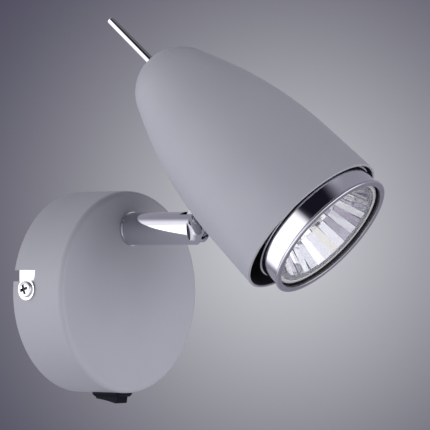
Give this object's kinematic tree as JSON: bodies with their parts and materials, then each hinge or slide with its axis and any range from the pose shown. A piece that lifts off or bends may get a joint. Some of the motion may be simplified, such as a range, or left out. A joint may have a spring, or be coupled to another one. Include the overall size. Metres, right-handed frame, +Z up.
{
  "type": "wall spotlight",
  "caption": "Wall spotlight: round wall cup with a rocker switch, swivelling arm, tilting bullet shade with a tail pin, and a reflector lamp in a front ring.",
  "frame": {"origin": "centre of the cable hole in the wall bracket, on the wall", "axes": "+Y into the wall, so the object stands out along -Y; +Z up; +X to the right seen from the front"},
  "size_m": [0.084, 0.1462, 0.1515],
  "materials": {
    "painted_grey": "satin silver-grey paint",
    "chrome": "polished chrome plating",
    "zinc": "bright zinc plating",
    "black_plastic": "fine matt moulding",
    "white_plastic": "smooth moulding",
    "ceramic": "unglazed white ceramic",
    "glass": "clear polished glass",
    "mirror": "aluminised facets",
    "quartz": "clear quartz",
    "tungsten": "drawn wire",
    "brass": "plain brass",
    "spring_steel": "plain spring steel"
  },
  "bodies": {
    "base": {"base_cup": "painted_grey", "wall_bracket": "zinc", "cup_screws": "zinc", "cup_washers": "zinc", "switch_body": "black_plastic", "switch_terminals": "brass", "terminal_block": "white_plastic", "terminal_inserts": "brass", "terminal_screws": "zinc", "block_screw": "zinc", "earth_washer": "brass", "earth_screw": "brass"},
    "arm": {"arm": "chrome", "hinge_pin": "chrome", "arm_washer": "chrome", "arm_nipple": "zinc", "arm_plain_washer": "zinc", "arm_spring_washer": "spring_steel", "arm_nut": "zinc"},
    "rocker": {"switch_rocker": "black_plastic"},
    "head": {"shade": "painted_grey", "link": "chrome", "friction_washers": "spring_steel", "link_washer": "zinc", "link_nut": "zinc", "tail_pin": "chrome", "tail_seat": "zinc", "holder_bracket": "zinc", "tail_nut": "zinc", "lampholder": "ceramic", "holder_contacts": "brass", "holder_screws": "zinc", "holder_nuts": "zinc", "lamp_base": "ceramic", "lamp_pins": "zinc", "lamp_reflector": "mirror", "lamp_front_glass": "glass", "lamp_capsule": "quartz", "lamp_filament": "tungsten", "front_ring": "chrome", "lamp_circlip": "spring_steel"}
  },
  "joints": [
    {"name": "arm_swivel", "type": "hinge", "parent": "base", "child": "arm", "pos_m": [0, -0.026, 0.025], "axis": [0, -1, 0], "range_deg": [-185, 155]},
    {"name": "shade_tilt", "type": "hinge", "parent": "arm", "child": "head", "pos_m": [0, -0.0585, 0.025], "axis": [0.9659, 0, 0.2588], "range_deg": [-5, 95]},
    {"name": "switch_rock", "type": "hinge", "parent": "base", "child": "rocker", "pos_m": [0, -0.016, -0.04], "axis": [-1, 0, 0], "range_deg": [0, 20]}
  ]
}
